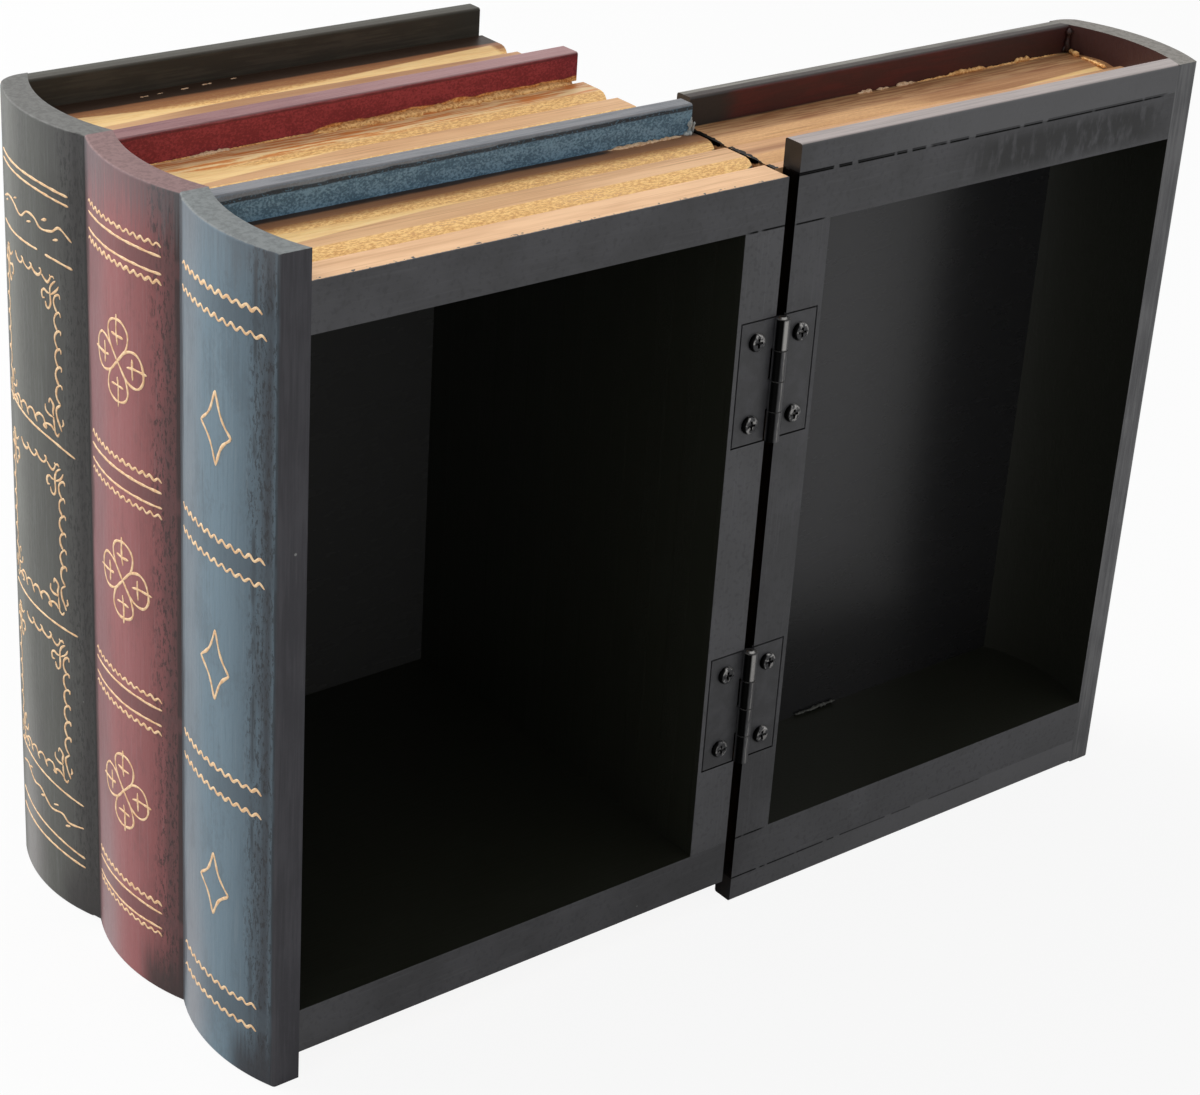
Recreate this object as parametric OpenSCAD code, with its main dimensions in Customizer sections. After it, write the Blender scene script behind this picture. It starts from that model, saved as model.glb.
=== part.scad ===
// Wooden book box: three dummy books glued into a case, and a fourth book as its hinged door.
// Shown open flat at 180 degrees. X runs along the open width, Y into the depth, Z up.
// The hinge axis is at x = 0, and the origin is at the bottom centre of the open box.

/* [Overall] */
// Height of the spines and cover boards
height = 250; // [200:1:300]
// Hinge axis to the inner edge of each spine
reach = 157.2; // [130:0.1:190]
// How far spines and boards stand beyond the page blocks, top and bottom
overhang = 8.8; // [5:0.1:14]

/* [Books] */
// Depth of the blue book at its spine, the front one of the case
blue_book_d = 48.4; // [40:0.1:60]
// Depth of the red book at its spine
red_book_d = 48.9; // [40:0.1:60]
// Depth of the green book at its spine, the back one of the case
green_book_d = 53.3; // [40:0.1:60]
// Depth of the fourth book, which is the door
door_book_d = 52; // [42:0.1:64]

/* [Cover boards] */
// Thickness of the blue board strips
blue_board_t = 6; // [4:0.1:9]
// Back of the blue strips to the joint of the blue and red spines
blue_board_inset = 0.9; // [0:0.1:3]
// Thickness of the red board strips
red_board_t = 7.6; // [4:0.1:9]
// Front of the red strips, at the spine, to the joint of the red and green spines
red_board_lead = 6.9; // [5:0.1:14]
// Angle at which the red strips are laid
red_board_skew = 1.7; // [0:0.1:2]
// Thickness of the green cover board, the back wall of the case
green_board_t = 6; // [4:0.1:9]
// Thickness of the door's outer cover board
door_board_t = 6; // [4:0.1:9]
// Thickness of the door's front strips
door_strip_t = 7; // [4:0.1:9]
// Hinge axis to the free ends of the case boards
board_end_gap = 2.6; // [2.3:0.1:6]
// Hinge axis to the free ends of the door's front strips
strip_end_gap = 2.3; // [2.2:0.1:6]
// Hinge axis to the free end of the door's cover board
cover_end_gap = 0.3; // [0.2:0.1:6]
// Rounding of the board and spine edges
edge_round = 0.8; // [0.3:0.1:1.5]

/* [Spines] */
// Thickness of the curved spine boards
spine_t = 8.6; // [6:0.1:12]
// How far the middle of a spine stands out from its joints
spine_bulge = 4.9; // [3:0.1:6]
// Rounding of the free front corner of a spine
spine_front_round = 2; // [1:0.1:5]
// Rounding of the back corner, where a spine turns into the cover board
spine_back_round = 10.5; // [4:0.1:11]

/* [Page blocks] */
// Thickness of the top and bottom panels of the case
case_panel_t = 14.3; // [10:0.1:22]
// Thickness of the top and bottom panels of the door
door_panel_t = 15; // [10:0.1:22]
// Hinge axis to the inner face of the fore-edge panels
fore_edge_inner = 15.8; // [15.2:0.1:22]
// Hinge axis to the page ridges of the case
page_gap = 1.5; // [1.2:0.1:2.4]
// Open crack between the page ridges of case and door
page_crack = 0.8; // [0.6:0.1:1.1]
// Front plane to the first flute cut into the pages
first_flute = 10.6; // [8:0.1:14]
// Distance from one flute to the next
flute_pitch = 16.5; // [12:0.1:24]
// Width of the sharp side of a flute
flute_step = 0.9; // [0.5:0.1:2]
// Width of the slope that rises out of a flute
flute_rise = 7.2; // [4:0.1:9]
// Depth of the flutes along the fore-edge
edge_flute_depth = 3; // [1:0.1:4]
// Depth of the flutes along top and bottom
top_flute_depth = 1.6; // [0.6:0.1:3]

/* [Hinges] */
// Length of each butt hinge
hinge_len = 38; // [30:0.5:50]
// Spine and board ends to the near end of each hinge, when both sit evenly
hinge_inset = 52; // [35:0.5:70]
// How far both hinges sit above that
hinge_lift = 1.3; // [0:0.1:3]
// Hinge axis to the long edge of a leaf
leaf_w = 13.9; // [12:0.1:14.5]
// Thickness of the leaf sheet
leaf_t = 0.8; // [0.6:0.1:0.8]
// Outer diameter of the rolled knuckles
barrel_d = 4.4; // [4.4:0.1:4.8]
// Number of knuckles in a barrel
knuckle_count = 4; // [2:1:6]
// Running gap between neighbouring knuckles
knuckle_gap = 0.3; // [0.2:0.05:0.5]
// Radial clearance between pin and knuckle
pin_fit = 0.05; // [0.02:0.01:0.1]
// Slit between the leaf and the end of its rolled sheet
curl_gap = 0.3; // [0.2:0.05:0.4]
// How far the pin ends stand out of the barrel
pin_end = 0.5; // [0.2:0.1:1]
// Clearance of the mortise round a leaf
mortise_gap = 0.5; // [0.3:0.1:1]
// Clearance between the barrel and the wood beside it
barrel_relief = 0.35; // [0.2:0.05:0.6]

/* [Screws] */
// Hinge axis to the screws
screw_offset = 8.2; // [7.5:0.1:8.6]
// Distance between the two screws of a leaf
screw_spacing = 25.6; // [18:0.1:30]
// Diameter of the screw shanks
screw_d = 2.9; // [2:0.1:3.2]
// Length of a screw below its head
screw_len = 13; // [8:0.5:20]
// Length of the tapered tip of a screw
screw_tip = 3; // [1:0.5:5]
// How much deeper than its screw a pilot hole goes
pilot_extra = 1.5; // [0.5:0.5:4]
// Diameter of the pan heads
head_d = 5.6; // [4.5:0.1:6]
// Height of the pan heads
head_h = 1.3; // [1:0.1:1.3]
// Rounding of the rim of the pan heads
head_round = 0.9; // [0.4:0.1:1]
// Width of the arms of the cross recess
recess_w = 0.8; // [0.5:0.1:1.1]
// Length of the arms of the cross recess
recess_len = 3; // [2:0.1:3.6]
// Depth of the cross recess
recess_depth = 0.9; // [0.5:0.1:1]
// Radial clearance of a screw in its leaf hole
leaf_hole_fit = 0.2; // [0.1:0.05:0.4]
// Radial clearance of a screw in its pilot hole
pilot_fit = 0.05; // [0.02:0.01:0.1]

/* [Hidden] */
$fn = 96;
cut = 1;
flute_steps = 4;
flute_curve = 1.6;
case_d = blue_book_d + red_book_d + green_book_d;
green_book_y = blue_book_d + red_book_d;
green_page_d = green_book_d - green_board_t;
case_page_d = case_d - green_board_t;
door_page_d = door_book_d - door_board_t;
case_books = [[0, blue_book_d], [blue_book_d, red_book_d], [green_book_y, green_page_d]];
door_books = [[0, door_page_d]];
blue_board_y = blue_book_d - blue_board_inset - blue_board_t;
red_board_y = green_book_y - red_board_lead;
block_h = height - 2 * overhang;
door_gap = page_crack - page_gap;
barrel_r = barrel_d / 2;
bore_r = barrel_r - leaf_t;
pin_r = bore_r - pin_fit;
pin_inset = barrel_r - leaf_t;
knuckle_len = hinge_len / knuckle_count;
hinge_zs = [hinge_inset + hinge_lift, height - hinge_inset - hinge_len + hinge_lift];
screw_zs = [hinge_len / 2 - screw_spacing / 2, hinge_len / 2 + screw_spacing / 2];
front_y = -pin_inset - barrel_r;
mid_y = (front_y + case_d) / 2;

// Moves a piece drawn from the hinge axis and the front plane to the frame of the whole box
module placed() {
    translate([0, -mid_y, 0]) children();
}

// The door side: a piece drawn like one of the case, turned over at the hinge axis
module door_side() {
    mirror([1, 0, 0]) children();
}

// A piece drawn at the top of the box, turned over to lie at the bottom
module at_bottom() {
    translate([0, 0, height]) mirror([0, 0, 1]) children();
}

// A section drawn in depth and height, drawn out along X from x0 to x1
module along_x(x0, x1) {
    translate([x0, 0, 0]) rotate([90, 0, 90]) linear_extrude(x1 - x0) children();
}

// Radius of a spine's arc, from the width and the bulge between its joints
function arc_r(w) = (w * w / 4 + spine_bulge * spine_bulge) / (2 * spine_bulge);

// Centre of the outer arc, where the spine's outer joints are on x = 0
function arc_centre(w) = [arc_r(w) - spine_bulge, w / 2];

// Centre of the circle of radius r that rounds the corner of the outer arc at the far side, y = far
function corner_centre(w, far, r) =
    let (dy = far - r - w / 2, reach_r = arc_r(w) - r)
    [arc_centre(w)[0] - sqrt(reach_r * reach_r - dy * dy), far - r];

// What the rounding takes off the corner at y = far
module corner_waste(w, far, r) {
    c = corner_centre(w, far, r);
    out = (c - arc_centre(w)) / (arc_r(w) - r);
    difference() {
        polygon([c, c + 2 * r * out, [c[0] - 2 * r, far + r], [c[0], far + r]]);
        translate(c) circle(r);
    }
}

// Section of a spine board whose outer joints, w apart, are on x = 0. A cover board of thickness
// board_t lies behind the far joint of an end book, and the spine runs on past its edge
module spine_outline(w, board_t, front_r, back_r) {
    difference() {
        intersection() {
            translate(arc_centre(w)) circle(arc_r(w));
            translate([-spine_bulge - cut, 0]) square([2 * spine_bulge + spine_t + 3 * cut, w + board_t]);
        }
        translate([spine_t, 0]) translate(arc_centre(w)) circle(arc_r(w));
        if (front_r > 0) translate([0, w]) mirror([0, 1]) corner_waste(w, w, front_r);
        if (back_r > 0) corner_waste(w, w + board_t, back_r);
    }
}

// Upright body whose outer arc has rounded top and bottom edges
module soft_edged_cylinder(r) {
    rotate_extrude() {
        square([r - edge_round, height]);
        translate([0, edge_round]) square([r, height - 2 * edge_round]);
        for (z = [edge_round, height - edge_round]) {
            translate([r - edge_round, z]) circle(edge_round, $fn = 32);
        }
    }
}

// A spine board, y0 behind the front plane
module spine_board(y0, w, board_t = 0, front_r = 0, back_r = 0) {
    translate([-reach - spine_t, y0, 0]) intersection() {
        linear_extrude(height) spine_outline(w, board_t, front_r, back_r);
        translate(arc_centre(w)) soft_edged_cylinder(arc_r(w));
    }
}

// Everything beyond the inner faces of a row of spines, used to fit boards and panels to them
module spine_cut(books, d) {
    translate([-reach, 0, -cut]) linear_extrude(height + 2 * cut) difference() {
        translate([-spine_bulge - spine_t, -cut]) square([2 * spine_bulge + spine_t + cut, d + 2 * cut]);
        for (b = books) translate([0, b[0]]) translate(arc_centre(b[1])) circle(arc_r(b[1]));
    }
}

// One flute as points of [y, depth]: a sharp step down and a hollow slope up
function flute(y, depth) = concat(
    [[y, 0]],
    [for (i = [0:flute_steps]) [
        y + flute_step + flute_rise * i / flute_steps,
        -depth * pow(1 - i / flute_steps, flute_curve)
    ]]
);

// The fluted line of a page block, d deep, as points of [y, depth]
function flute_line(d, depth) = concat(
    [[0, 0]],
    [for (y = [first_flute:flute_pitch:d - flute_step - flute_rise]) each flute(y, depth)],
    [[d, 0]]
);

// Page block seen from above: a fluted fore-edge, gap away from the hinge axis
module page_plan(d, gap) {
    polygon(concat(
        [for (p = flute_line(d, edge_flute_depth)) [p[1] - gap, p[0]]],
        [[-reach - spine_bulge, d], [-reach - spine_bulge, 0]]
    ));
}

// Top panel of thickness t seen from the side: fluted above, flat below
module panel_section(d, t) {
    polygon(concat(
        [for (p = flute_line(d, top_flute_depth)) [p[0], t + p[1]]],
        [[d, 0], [0, 0]]
    ));
}

// Top panel of a page block, before it is fitted to the spines
module top_panel_blank(d, t, gap) {
    translate([0, 0, height - overhang - t]) intersection() {
        linear_extrude(t) page_plan(d, gap);
        along_x(-reach - spine_bulge - cut, cut) panel_section(d, t);
    }
}

// Recess along the front of the door's pages, which is as deep as its front strips
module door_front_step() {
    translate([-strip_end_gap, -cut, -cut]) {
        cube([strip_end_gap + edge_flute_depth, door_strip_t + cut, height + 2 * cut]);
    }
}

// Section of a strip or board of thickness t and height h, with its edges rounded
module board_section(t, h, round_low) {
    low = round_low ? edge_round : 0;
    translate([0, low]) square([t, h - low - edge_round]);
    translate([edge_round, 0]) square([t - 2 * edge_round, h]);
    for (y = [edge_round, t - edge_round]) {
        translate([y, h - edge_round]) circle(edge_round, $fn = 32);
        if (round_low) translate([y, edge_round]) circle(edge_round, $fn = 32);
    }
}

// Strip of a cover board that stands on the top panel
module top_strip(y0, t, end_gap, skew = 0) {
    translate([-reach, y0, height - overhang]) rotate([0, 0, skew]) {
        along_x(-spine_bulge, (reach - end_gap) / cos(skew)) board_section(t, overhang, false);
    }
}

// Full cover board behind a page block, before it is fitted to the spine
module cover_blank(y0, t, end_gap) {
    translate([0, y0, 0]) {
        along_x(-reach - spine_bulge, -end_gap) board_section(t, height, true);
    }
}

// Fore-edge panel that stands between top and bottom panels of thickness end_t, with both hinge mortises
module fore_edge_panel(d, end_t, gap) {
    h = block_h - 2 * end_t;
    difference() {
        translate([0, 0, overhang + end_t]) intersection() {
            linear_extrude(h) page_plan(d, gap);
            translate([-fore_edge_inner, 0, 0]) cube([fore_edge_inner + cut, d, h]);
        }
        for (z = hinge_zs) translate([0, 0, z]) {
            hinge_mortise();
            for (zs = screw_zs) translate([0, 0, zs]) pilot_hole();
        }
    }
}

// Pocket for a leaf and its half of the barrel
module hinge_mortise() {
    translate([-leaf_w - mortise_gap, -cut, -mortise_gap]) {
        cube([leaf_w + mortise_gap, leaf_t + cut, hinge_len + 2 * mortise_gap]);
    }
    translate([0, -pin_inset, -mortise_gap]) {
        cylinder(r = barrel_r + barrel_relief, h = hinge_len + 2 * mortise_gap);
    }
}

// Pilot hole for one screw
module pilot_hole() {
    translate([-screw_offset, 0, 0]) rotate([-90, 0, 0]) {
        cylinder(r = screw_d / 2 + pilot_fit, h = screw_len + pilot_extra);
    }
}

// Section of a leaf: the flat sheet, rolled round the pin at the hinge axis
module leaf_section() {
    difference() {
        union() {
            translate([-leaf_w, 0]) square([leaf_w, leaf_t]);
            translate([0, -pin_inset]) circle(barrel_r);
        }
        translate([0, -pin_inset]) circle(bore_r);
        translate([-barrel_r - cut, -curl_gap]) square([barrel_r + cut - curl_gap, curl_gap]);
    }
}

// One hinge leaf. Its knuckles alternate with the other leaf's, counted from the top
module hinge_leaf(has_top) {
    difference() {
        linear_extrude(hinge_len) leaf_section();
        for (k = [1:knuckle_count]) {
            if ((k % 2 == 1) != has_top) translate([0, 0, hinge_len - k * knuckle_len]) knuckle_notch();
        }
        for (z = screw_zs) translate([-screw_offset, -cut, z]) rotate([-90, 0, 0]) {
            cylinder(r = screw_d / 2 + leaf_hole_fit, h = leaf_t + 2 * cut);
        }
    }
}

// Room in one leaf for a knuckle of the other
module knuckle_notch() {
    translate([-barrel_r - knuckle_gap, -pin_inset - barrel_r - cut, -knuckle_gap / 2]) {
        cube([2 * (barrel_r + knuckle_gap), 2 * (barrel_r + cut), knuckle_len + knuckle_gap]);
    }
}

// Hinge pin with blunt conical ends
module hinge_pin() {
    translate([0, -pin_inset, 0]) rotate_extrude() polygon([
        [0, -pin_end], [pin_r - pin_end, -pin_end], [pin_r, 0],
        [pin_r, hinge_len], [pin_r - pin_end, hinge_len + pin_end], [0, hinge_len + pin_end]
    ]);
}

// Pan-head wood screw with a cross recess, its head seated on the face of the leaf
module wood_screw() {
    head_r = head_d / 2;
    rotate([-90, 0, 0]) difference() {
        rotate_extrude() {
            translate([0, -head_h]) square([head_r - head_round, head_h]);
            translate([0, head_round - head_h]) square([head_r, head_h - head_round]);
            translate([head_r - head_round, head_round - head_h]) intersection() {
                circle(head_round, $fn = 32);
                translate([0, -head_round]) square(head_round);
            }
            polygon([[0, 0], [screw_d / 2, 0], [screw_d / 2, screw_len - screw_tip], [0, screw_len]]);
        }
        for (turn = [0, 90]) rotate([0, 0, turn]) {
            translate([-recess_len / 2, -recess_w / 2, -head_h - cut]) {
                cube([recess_len, recess_w, recess_depth + cut]);
            }
        }
    }
}

// The two screws of one leaf
module leaf_screws(hinge_z) {
    for (z = screw_zs) translate([-screw_offset, 0, hinge_z + z]) wood_screw();
}

module green_cover() {
    color("#2b2f2a") placed() difference() {
        cover_blank(case_page_d, green_board_t, board_end_gap);
        spine_cut(case_books, case_d);
    }
}

module green_spine() {
    color("#3c4440") placed() {
        spine_board(green_book_y, green_page_d, green_board_t, back_r = spine_back_round);
    }
}

module red_spine() {
    color("#713f48") placed() spine_board(blue_book_d, red_book_d);
}

module blue_spine() {
    color("#4f6878") placed() spine_board(0, blue_book_d, front_r = spine_front_round);
}

module case_top_blank() {
    difference() {
        top_panel_blank(case_page_d, case_panel_t, page_gap);
        spine_cut(case_books, case_d);
    }
}

module case_top_panel() {
    color("#cfa56c") placed() case_top_blank();
}

module case_bottom_panel() {
    color("#cfa56c") placed() at_bottom() case_top_blank();
}

module case_fore_edge_panel() {
    color("#c99c62") placed() fore_edge_panel(case_page_d, case_panel_t, page_gap);
}

module red_strip() {
    difference() {
        top_strip(red_board_y, red_board_t, board_end_gap, red_board_skew);
        spine_cut(case_books, case_d);
    }
}

module red_top_strip() {
    color("#6b242c") placed() red_strip();
}

module red_bottom_strip() {
    color("#6b242c") placed() at_bottom() red_strip();
}

module blue_strip() {
    difference() {
        top_strip(blue_board_y, blue_board_t, board_end_gap);
        spine_cut(case_books, case_d);
    }
}

module blue_top_strip() {
    color("#466070") placed() blue_strip();
}

module blue_bottom_strip() {
    color("#466070") placed() at_bottom() blue_strip();
}

module upper_hinge_case_leaf() {
    color("#2c2c2f") placed() translate([0, 0, hinge_zs[1]]) hinge_leaf(true);
}

module lower_hinge_case_leaf() {
    color("#2c2c2f") placed() translate([0, 0, hinge_zs[0]]) hinge_leaf(true);
}

module upper_hinge_pin() {
    color("#8a8a88") placed() translate([0, 0, hinge_zs[1]]) hinge_pin();
}

module lower_hinge_pin() {
    color("#8a8a88") placed() translate([0, 0, hinge_zs[0]]) hinge_pin();
}

module upper_case_screws() {
    color("#39393c") placed() leaf_screws(hinge_zs[1]);
}

module lower_case_screws() {
    color("#39393c") placed() leaf_screws(hinge_zs[0]);
}

module door_cover() {
    color("#33343a") placed() door_side() difference() {
        cover_blank(door_page_d, door_board_t, cover_end_gap);
        spine_cut(door_books, door_book_d);
    }
}

module door_spine() {
    color("#2e2a2c") placed() door_side() {
        spine_board(0, door_page_d, door_board_t, spine_front_round, spine_back_round);
    }
}

module door_top_blank() {
    difference() {
        top_panel_blank(door_page_d, door_panel_t, door_gap);
        spine_cut(door_books, door_book_d);
        door_front_step();
    }
}

module door_top_panel() {
    color("#c49a63") placed() door_side() door_top_blank();
}

module door_bottom_panel() {
    color("#c49a63") placed() door_side() at_bottom() door_top_blank();
}

module door_fore_edge_panel() {
    color("#c49a63") placed() door_side() difference() {
        fore_edge_panel(door_page_d, door_panel_t, door_gap);
        door_front_step();
    }
}

module door_strip() {
    difference() {
        top_strip(0, door_strip_t, strip_end_gap);
        spine_cut(door_books, door_book_d);
    }
}

module door_top_strip() {
    color("#3a3a40") placed() door_side() door_strip();
}

module door_bottom_strip() {
    color("#3a3a40") placed() door_side() at_bottom() door_strip();
}

module upper_hinge_door_leaf() {
    color("#2c2c2f") placed() door_side() translate([0, 0, hinge_zs[1]]) hinge_leaf(false);
}

module lower_hinge_door_leaf() {
    color("#2c2c2f") placed() door_side() translate([0, 0, hinge_zs[0]]) hinge_leaf(false);
}

module upper_door_screws() {
    color("#39393c") placed() door_side() leaf_screws(hinge_zs[1]);
}

module lower_door_screws() {
    color("#39393c") placed() door_side() leaf_screws(hinge_zs[0]);
}

green_cover();
green_spine();
red_spine();
blue_spine();
case_top_panel();
case_bottom_panel();
case_fore_edge_panel();
red_top_strip();
red_bottom_strip();
blue_top_strip();
blue_bottom_strip();
upper_hinge_case_leaf();
lower_hinge_case_leaf();
upper_hinge_pin();
lower_hinge_pin();
upper_case_screws();
lower_case_screws();
door_cover();
door_spine();
door_top_panel();
door_bottom_panel();
door_fore_edge_panel();
door_top_strip();
door_bottom_strip();
upper_hinge_door_leaf();
lower_hinge_door_leaf();
upper_door_screws();
lower_door_screws();
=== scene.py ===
"""Looks of the wooden book box: paint, gilding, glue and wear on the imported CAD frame.

Sizes are in millimetres. Depths (y) are measured back from the front plane of case and door, and
heights (z) from the floor.
"""
import math
import random

import bpy
import numpy as np
from mathutils import Matrix, Vector


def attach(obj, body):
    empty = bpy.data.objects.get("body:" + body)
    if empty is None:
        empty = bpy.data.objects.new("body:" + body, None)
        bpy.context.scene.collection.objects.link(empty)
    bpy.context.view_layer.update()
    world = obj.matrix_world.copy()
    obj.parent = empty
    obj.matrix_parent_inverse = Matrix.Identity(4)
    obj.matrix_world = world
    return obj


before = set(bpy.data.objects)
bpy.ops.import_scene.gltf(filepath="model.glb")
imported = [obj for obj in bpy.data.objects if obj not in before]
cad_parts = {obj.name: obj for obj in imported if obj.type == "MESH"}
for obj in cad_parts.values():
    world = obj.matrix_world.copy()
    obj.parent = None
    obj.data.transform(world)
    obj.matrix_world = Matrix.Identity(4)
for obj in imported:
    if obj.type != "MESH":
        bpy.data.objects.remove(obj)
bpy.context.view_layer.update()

MM = 0.001
# Measures of the box, as in the part's source
FRONT_Y = -73.5   # the front plane in the part's frame
HEIGHT = 250.0
OVERHANG = 8.8    # how far the boards and spines stand past the pages
PAGE_TOP = HEIGHT - OVERHANG
REACH = 157.2     # hinge axis to the inner edge of the spines
SPINE_T = 8.6
BULGE = 4.9
BACK_ROUND = 10.5
BOARD_T = 6.0
BLUE_FOOT_Y = 41.5
RED_FOOT_Y = 90.4
RED_SKEW = 1.7
GREEN_FOOT_Y = 144.6
DOOR_FOOT_Y = 46.0
FLUTE_FIRST, FLUTE_PITCH, FLUTE_STEP, FLUTE_RISE = 10.6, 16.5, 0.9, 7.2
CASE_RAIL_SEAM_Z = 226.9
DOOR_RAIL_SEAMS_Z = (226.4, 23.4)
KNUCKLE_TOPS_Z, KNUCKLE_LENGTH = (91.3, 199.3), 9.4
# Distances from half height at which the rails, the hollow and the hinge mortises end
RAIL_FROM, HOLLOW_TO, MORTISE_TO = 101, 104, 112
MORTISE_X = 15.5
# Each book: depth where it starts, and the width of its arc
BLUE, RED, GREEN, DOOR = (0.0, 48.4), (48.4, 48.9), (97.3, 47.3), (0.0, 46.0)


def srgb(r, g, b):
    """A colour written as 0 to 255 display values, as linear RGBA."""
    def linear(v):
        v /= 255
        return v / 12.92 if v <= 0.04045 else ((v + 0.055) / 1.055) ** 2.4
    return (linear(r), linear(g), linear(b), 1.0)


def add_object(name, data):
    """A new object in the scene."""
    o = bpy.data.objects.new(name, data)
    bpy.context.scene.collection.objects.link(o)
    return o


def empty_tree(owner):
    """The node tree of a material or world, with no nodes in it yet."""
    owner.use_nodes = True
    owner.node_tree.nodes.clear()
    return owner.node_tree


class Val:
    """An output socket that can be used in sums."""

    def __init__(self, shade, socket):
        self.shade, self.socket = shade, socket

    def __add__(self, other):
        return self.shade.math("ADD", self, other)

    def __sub__(self, other):
        return self.shade.math("SUBTRACT", self, other)

    def __rsub__(self, other):
        return self.shade.math("SUBTRACT", other, self)

    def __mul__(self, other):
        return self.shade.math("MULTIPLY", self, other)

    def __truediv__(self, other):
        return self.shade.math("DIVIDE", self, other)

    def __abs__(self):
        return self.shade.math("ABSOLUTE", self)

    __radd__ = __add__
    __rmul__ = __mul__


class Shade:
    """A material's node tree with short calls."""

    def __init__(self, name):
        self.material = bpy.data.materials.new(name)
        self.tree = empty_tree(self.material)
        out = self.node("ShaderNodeOutputMaterial")
        self.bsdf = self.node("ShaderNodeBsdfPrincipled")
        self.tree.links.new(self.bsdf.outputs[0], out.inputs[0])
        coords = self.node("ShaderNodeTexCoord")
        scaled = self.node("ShaderNodeVectorMath", operation="MULTIPLY_ADD")
        self.put(scaled.inputs[0], coords.outputs["Object"])
        self.put(scaled.inputs[1], (1 / MM, 1 / MM, 1 / MM))
        self.put(scaled.inputs[2], (0, -FRONT_Y, 0))
        self.pos = scaled.outputs[0]
        self.x, self.y, self.z = self.split(self.pos)
        self.nx, self.ny, self.nz = self.split(coords.outputs["Normal"])
        self.mid_z = abs(self.z - HEIGHT / 2)

    def node(self, kind, **props):
        n = self.tree.nodes.new(kind)
        for key, value in props.items():
            setattr(n, key, value)
        return n

    def put(self, target, value):
        if isinstance(value, Val):
            value = value.socket
        if isinstance(value, bpy.types.NodeSocket):
            self.tree.links.new(value, target)
        else:
            target.default_value = value

    def split(self, socket):
        n = self.node("ShaderNodeSeparateXYZ")
        self.put(n.inputs[0], socket)
        return [Val(self, o) for o in n.outputs]

    def math(self, op, *args):
        n = self.node("ShaderNodeMath", operation=op)
        for i, a in enumerate(args):
            self.put(n.inputs[i], a)
        return Val(self, n.outputs[0])

    def most(self, *values):
        """The largest of some values."""
        top = values[0]
        for v in values[1:]:
            top = self.math("MAXIMUM", top, v)
        return top

    def step(self, value, lo, hi):
        """0 below lo, 1 above hi, smooth between. Counts down where lo is above hi."""
        n = self.node("ShaderNodeMapRange", interpolation_type="SMOOTHSTEP")
        self.put(n.inputs[0], value)
        n.inputs[1].default_value, n.inputs[2].default_value = min(lo, hi), max(lo, hi)
        n.inputs[3].default_value, n.inputs[4].default_value = (0, 1) if lo < hi else (1, 0)
        return Val(self, n.outputs[0])

    def band(self, value, lo, hi, soft):
        """1 between lo and hi."""
        return self.step(value, lo - soft, lo + soft) * self.step(value, hi + soft, hi - soft)

    def at_scale(self, size, stretch, shift):
        n = self.node("ShaderNodeVectorMath", operation="MULTIPLY_ADD")
        self.put(n.inputs[0], self.pos)
        self.put(n.inputs[1], tuple(1 / (size * s) for s in stretch))
        self.put(n.inputs[2], (shift, shift * 1.7, -shift))
        return n.outputs[0]

    def noise(self, size, detail=2.0, stretch=(1, 1, 1), shift=0.0, rough=0.6):
        """Noise about 0.5, its features about size mm wide, longer along an axis by stretch."""
        n = self.node("ShaderNodeTexNoise")
        self.put(n.inputs["Vector"], self.at_scale(size, stretch, shift))
        for key, value in (("Scale", 1.0), ("Detail", detail), ("Roughness", rough)):
            n.inputs[key].default_value = value
        return Val(self, n.outputs[0])

    def specks(self, cell, share, shift=0.0, size=0.075):
        """1 in small scattered spots, in about that share of the cells."""
        n = self.node("ShaderNodeTexVoronoi")
        self.put(n.inputs["Vector"], self.at_scale(cell, (1, 1, 1), shift))
        n.inputs["Scale"].default_value = 1.0
        pick = self.node("ShaderNodeSeparateColor")
        self.put(pick.inputs[0], n.outputs["Color"])
        chosen = self.step(Val(self, pick.outputs[0]), share + 0.001, share)
        return self.step(Val(self, n.outputs["Distance"]), size, size * 0.5) * chosen

    def wedge(self, x0, low, high, x1, tip_low, tip_high=None, soft=0.35, ends=0.01):
        """1 on the page tops between two straight lines that run from x0 to x1."""
        along = (self.x - x0) / (x1 - x0)
        low_line = along * (tip_low - low) + low
        high_line = along * ((tip_low if tip_high is None else tip_high) - high) + high
        inside = self.step(self.y - low_line, -soft, soft) * self.step(high_line - self.y, -soft, soft)
        return inside * self.band(along, 0, 1, ends)

    def mix(self, share, a, b):
        n = self.node("ShaderNodeMix", data_type="RGBA", clamp_factor=True)
        for i, v in ((0, share), (6, a), (7, b)):
            self.put(n.inputs[i], v)
        return n.outputs[2]

    def mix_value(self, share, a, b):
        n = self.node("ShaderNodeMix", data_type="FLOAT", clamp_factor=True)
        for i, v in ((0, share), (2, a), (3, b)):
            self.put(n.inputs[i], v)
        return Val(self, n.outputs[0])

    def finish(self, colour, rough, bump, depth, metallic=0.0, specular=0.5):
        """Colour and roughness, and a bump height of 0 to 1 that stands for depth mm."""
        for key, value in (("Base Color", colour), ("Roughness", rough), ("Metallic", metallic)):
            self.put(self.bsdf.inputs[key], value)
        self.bsdf.inputs["Specular IOR Level"].default_value = specular
        n = self.node("ShaderNodeBump")
        n.inputs["Strength"].default_value = 1.0
        n.inputs["Distance"].default_value = depth * MM
        self.put(n.inputs["Height"], bump)
        self.put(self.bsdf.inputs["Normal"], n.outputs[0])
        return self.material


# Paints

INSIDE_BLACK = srgb(29, 30, 23)
BACK_WALL_BLACK = srgb(60, 60, 59)
JOINT_BLACK = srgb(24, 23, 24)
DUST = srgb(165, 165, 162)
SEAM_HALF = 0.27
# Brown of the painted shade in front of the boards' feet
FOOT_SHADE_BROWN = srgb(136, 78, 40)
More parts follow.
